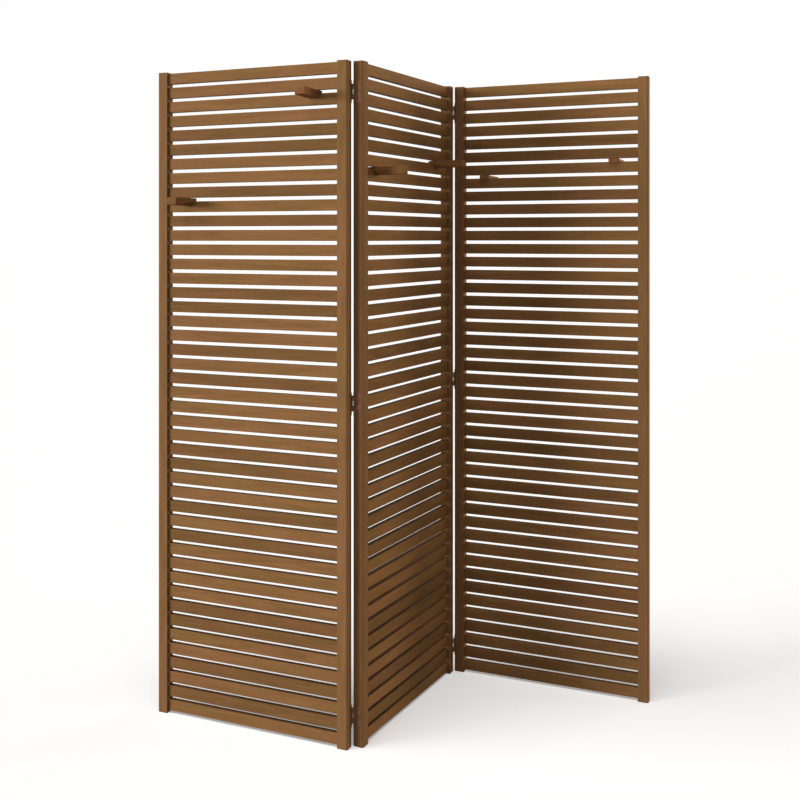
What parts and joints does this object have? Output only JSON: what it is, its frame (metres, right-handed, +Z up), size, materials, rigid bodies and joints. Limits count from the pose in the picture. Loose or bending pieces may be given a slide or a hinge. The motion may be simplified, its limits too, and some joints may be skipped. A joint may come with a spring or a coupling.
{
  "type": "folding screen",
  "caption": "Free-standing folding screen of slatted wooden panels hinged in a zigzag, with square stiles and movable wooden hooks that hang over the slats.",
  "frame": {"origin": "centre of the standing screen's box, on the floor", "axes": "+X along the row of panels from the left panel to the right one, +Y from front to back, +Z up. The middle panel is turned 42 degrees about +Z, the other two -42 degrees."},
  "size_m": [1.3586, 0.4212, 1.8],
  "materials": {
    "stile_wood": "satin oiled walnut-brown wood, grain upright",
    "slat_wood": "satin oiled walnut-brown wood, grain along the slat",
    "peg_wood": "satin oiled walnut-brown wood, grain along the peg",
    "hinge_bronze": "dark bronze, satin",
    "screw_bronze": "dark bronze, satin"
  },
  "bodies": {
    "middle_panel": {"middle_left_stile": "stile_wood", "middle_right_stile": "stile_wood", "middle_slats_band_1": "slat_wood", "middle_slats_band_2": "slat_wood", "middle_slats_band_3": "slat_wood", "middle_slats_band_4": "slat_wood", "middle_slats_band_5": "slat_wood", "middle_slats_band_6": "slat_wood", "middle_slats_band_7": "slat_wood", "middle_slats_band_8": "slat_wood", "middle_slats_band_9": "slat_wood", "left_top_hinge_middle_leaf": "hinge_bronze", "left_waist_hinge_middle_leaf": "hinge_bronze", "left_foot_hinge_middle_leaf": "hinge_bronze", "left_top_hinge_pin": "hinge_bronze", "left_waist_hinge_pin": "hinge_bronze", "left_foot_hinge_pin": "hinge_bronze", "right_top_hinge_middle_leaf": "hinge_bronze", "right_waist_hinge_middle_leaf": "hinge_bronze", "right_foot_hinge_middle_leaf": "hinge_bronze", "right_top_hinge_pin": "hinge_bronze", "right_waist_hinge_pin": "hinge_bronze", "right_foot_hinge_pin": "hinge_bronze", "middle_panel_screws": "screw_bronze"},
    "left_panel": {"left_outer_stile": "stile_wood", "left_inner_stile": "stile_wood", "left_slats_band_1": "slat_wood", "left_slats_band_2": "slat_wood", "left_slats_band_3": "slat_wood", "left_slats_band_4": "slat_wood", "left_slats_band_5": "slat_wood", "left_slats_band_6": "slat_wood", "left_slats_band_7": "slat_wood", "left_slats_band_8": "slat_wood", "left_slats_band_9": "slat_wood", "left_top_hinge_wing_leaf": "hinge_bronze", "left_waist_hinge_wing_leaf": "hinge_bronze", "left_foot_hinge_wing_leaf": "hinge_bronze", "left_panel_screws": "screw_bronze"},
    "right_panel": {"right_inner_stile": "stile_wood", "right_outer_stile": "stile_wood", "right_slats_band_1": "slat_wood", "right_slats_band_2": "slat_wood", "right_slats_band_3": "slat_wood", "right_slats_band_4": "slat_wood", "right_slats_band_5": "slat_wood", "right_slats_band_6": "slat_wood", "right_slats_band_7": "slat_wood", "right_slats_band_8": "slat_wood", "right_slats_band_9": "slat_wood", "right_top_hinge_wing_leaf": "hinge_bronze", "right_waist_hinge_wing_leaf": "hinge_bronze", "right_foot_hinge_wing_leaf": "hinge_bronze", "right_panel_screws": "screw_bronze"},
    "left_low_peg": {"left_panel_low_peg": "peg_wood"},
    "left_high_peg": {"left_panel_high_peg": "peg_wood"},
    "middle_left_peg": {"middle_panel_left_peg": "peg_wood"},
    "middle_right_peg": {"middle_panel_right_peg": "peg_wood"},
    "right_left_peg": {"right_panel_left_peg": "peg_wood"},
    "right_right_peg": {"right_panel_right_peg": "peg_wood"}
  },
  "joints": [
    {"name": "left_fold", "type": "hinge", "parent": "middle_panel", "child": "left_panel", "pos_m": [-0.22756, -0.18269, 0.9], "axis": [0, 0, -1], "range_deg": [-84, 96]},
    {"name": "right_fold", "type": "hinge", "parent": "middle_panel", "child": "right_panel", "pos_m": [0.22756, 0.18403, 0.9], "axis": [0, 0, -1], "range_deg": [-84, 55]},
    {"name": "left_low_peg_slide", "type": "slide", "parent": "left_panel", "child": "left_low_peg", "axis": [0.7431, -0.6691, 0], "range_m": [-0.049, 0.443]},
    {"name": "left_high_peg_slide", "type": "slide", "parent": "left_panel", "child": "left_high_peg", "axis": [0.7431, -0.6691, 0], "range_m": [-0.437, 0.055]},
    {"name": "middle_left_peg_slide", "type": "slide", "parent": "middle_panel", "child": "middle_left_peg", "axis": [0.7431, 0.6691, 0], "range_m": [-0.048, 0.383]},
    {"name": "middle_right_peg_slide", "type": "slide", "parent": "middle_panel", "child": "middle_right_peg", "axis": [0.7431, 0.6691, 0], "range_m": [-0.431, 0]},
    {"name": "right_left_peg_slide", "type": "slide", "parent": "right_panel", "child": "right_left_peg", "axis": [0.7431, -0.6691, 0], "range_m": [-0.05, 0.442]},
    {"name": "right_right_peg_slide", "type": "slide", "parent": "right_panel", "child": "right_right_peg", "axis": [0.7431, -0.6691, 0], "range_m": [-0.438, 0.054]}
  ]
}
